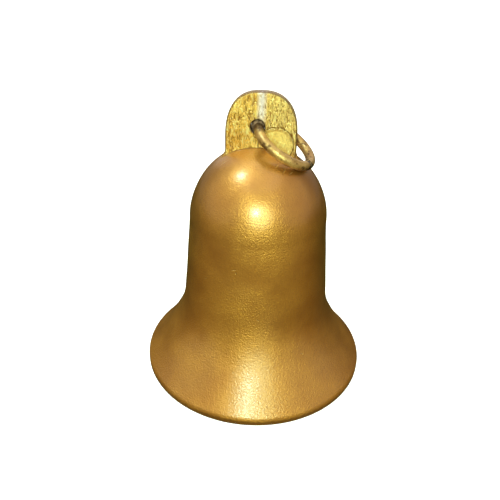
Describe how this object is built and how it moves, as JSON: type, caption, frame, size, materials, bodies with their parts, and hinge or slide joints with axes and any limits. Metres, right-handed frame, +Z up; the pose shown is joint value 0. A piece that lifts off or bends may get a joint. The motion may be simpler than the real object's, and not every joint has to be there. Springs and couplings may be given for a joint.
{
  "type": "hanging bell",
  "caption": "Small cast hanging bell with a domed crown and flared mouth, a drilled lug with a loose wire ring on top, and a swinging clapper inside.",
  "frame": {"origin": "centre of the lip's lower face, on the surface that the bell stands on", "axes": "+Z up along the bell's axis; Y along the lug's hole, so the lug's faces look along -Y and +Y; +X to the side on which the ring lies"},
  "size_m": [0.11, 0.11, 0.1345],
  "materials": {
    "shell_paint": "cast brass, sprayed with satin gold bronze-powder paint",
    "lug_paint": "rough cast brass under the same gold paint",
    "braze_paint": "brazed bead, painted over",
    "washer_steel": "zinc plated",
    "pin_steel": "plain steel",
    "ring_paint": "gold painted steel wire, worn brown where it rubs",
    "link_steel": "plain steel wire",
    "rod_iron": "forged, black scale",
    "ball_iron": "cast iron, worn bright where it strikes",
    "burr_steel": "plain steel"
  },
  "bodies": {
    "bell": {"bell_shell": "shell_paint", "hanging_lug": "lug_paint", "lug_braze": "braze_paint", "crown_washer": "washer_steel", "tang_pin": "pin_steel"},
    "ring": {"hanging_ring": "ring_paint"},
    "link": {"clapper_link": "link_steel"},
    "clapper": {"clapper_rod": "rod_iron", "clapper_ball": "ball_iron", "clapper_burr": "burr_steel"}
  },
  "joints": [
    {"name": "ring_swing", "type": "hinge", "parent": "bell", "child": "ring", "pos_m": [-0.0015, 0, 0.12], "axis": [0, -1, 0], "range_deg": [0, 247]},
    {"name": "link_swing", "type": "hinge", "parent": "bell", "child": "link", "pos_m": [0, 0, 0.096], "axis": [0, 1, 0], "range_deg": [-18.5, 18.5]},
    {"name": "clapper_swing", "type": "hinge", "parent": "link", "child": "clapper", "pos_m": [0, 0, 0.081], "axis": [1, 0, 0], "range_deg": [-5, 5]}
  ]
}
